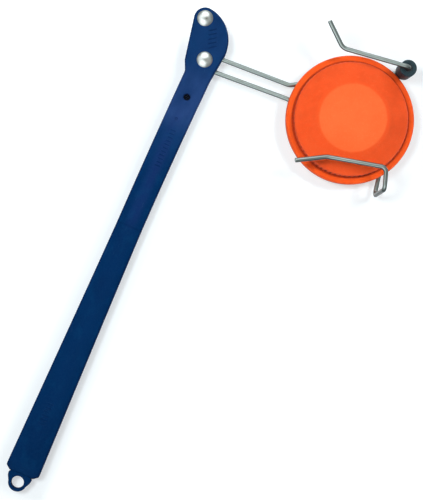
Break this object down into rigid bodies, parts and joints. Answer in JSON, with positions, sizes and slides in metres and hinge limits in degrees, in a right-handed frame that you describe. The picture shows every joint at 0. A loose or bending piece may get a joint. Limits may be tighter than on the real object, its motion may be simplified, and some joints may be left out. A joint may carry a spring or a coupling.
{
  "type": "hand-held clay target thrower",
  "caption": "Long plastic handle with a forked head in which a spring-wire arm swings; the arm's wire cage and rubber roller hold a clay target and spin it as it is thrown by hand.",
  "frame": {"origin": "centre of the hang hole at the lower end of the handle, on the handle's mid-plane", "axes": "+Y up the handle from the hang hole to the forked head, +X to the side the cocked arm and the target are on, +Z out of the front face, along the rivets and the hang hole"},
  "size_m": [0.2126, 0.4713, 0.0546],
  "materials": {
    "handle_plastic": "dark blue moulded plastic with a fine satin grain",
    "black_screw": "black oxide",
    "rivet_steel": "satin nickel plate",
    "plated_steel": "zinc plate",
    "white_nylon": "natural nylon",
    "spring_wire": "bright zinc plate on drawn wire",
    "black_rubber": "smooth black rubber",
    "black_nylon": "black nylon",
    "target_paint": "matt fluorescent orange paint on moulded pitch"
  },
  "bodies": {
    "handle": {"handle_front_shell": "handle_plastic", "handle_back_shell": "handle_plastic", "hang_tab": "handle_plastic", "neck_screw": "black_screw", "pivot_rivet": "rivet_steel", "pivot_tail_washer": "plated_steel", "pivot_sleeve": "plated_steel", "front_thrust_washer": "white_nylon", "back_thrust_washer": "white_nylon", "stop_rivet": "rivet_steel", "stop_tail_washer": "plated_steel", "stop_sleeve": "plated_steel"},
    "arm": {"throw_arm": "spring_wire"},
    "roller": {"rubber_roller": "black_rubber", "roller_bush": "black_nylon"},
    "target": {"clay_target": "target_paint"}
  },
  "joints": [
    {"name": "arm_swing", "type": "hinge", "parent": "handle", "child": "arm", "pos_m": [0.0015, 0.3953, 0], "axis": [0, 0, 1], "range_deg": [0, 88]},
    {"name": "roller_spin", "type": "hinge", "parent": "arm", "child": "roller", "pos_m": [0.1616, 0.4549, 0.0176], "axis": [0, 0, 1], "continuous": true},
    {"name": "target_release", "type": "slide", "parent": "arm", "child": "target", "axis": [-0.342, -0.9397, 0], "range_m": [0, 0.14]}
  ]
}
